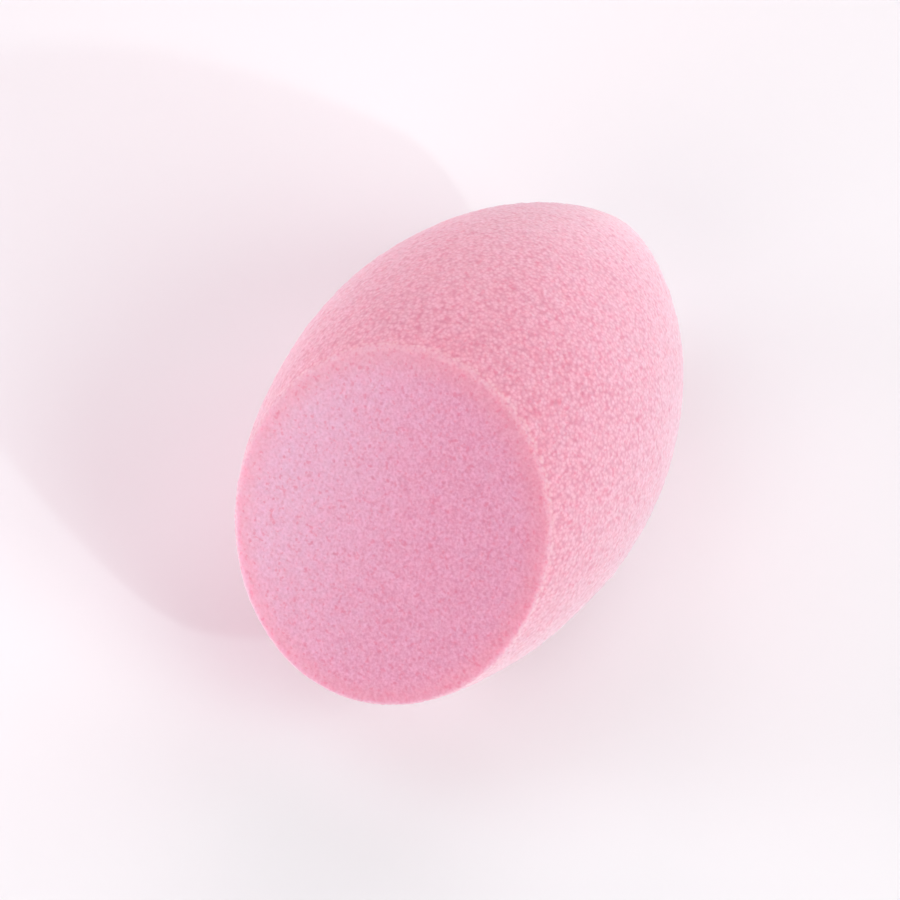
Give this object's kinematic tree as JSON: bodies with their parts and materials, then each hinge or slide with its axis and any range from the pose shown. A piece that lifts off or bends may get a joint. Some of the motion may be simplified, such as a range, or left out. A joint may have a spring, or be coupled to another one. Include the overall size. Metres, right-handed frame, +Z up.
{
  "type": "makeup sponge",
  "caption": "Teardrop makeup sponge of soft pink foam, with a rounded tip and a slanted flat, lying on its side.",
  "frame": {"origin": "the point that the sponge lies on, in the middle of its settled patch", "axes": "+Z up from the surface it lies on; +X level, towards the tip; the XZ plane is the mirror plane"},
  "size_m": [0.0625, 0.041, 0.0408],
  "materials": {
    "foam": "matte open-cell foam, ground surface"
  },
  "bodies": {
    "root": {"foam_sponge": "foam"}
  },
  "joints": []
}
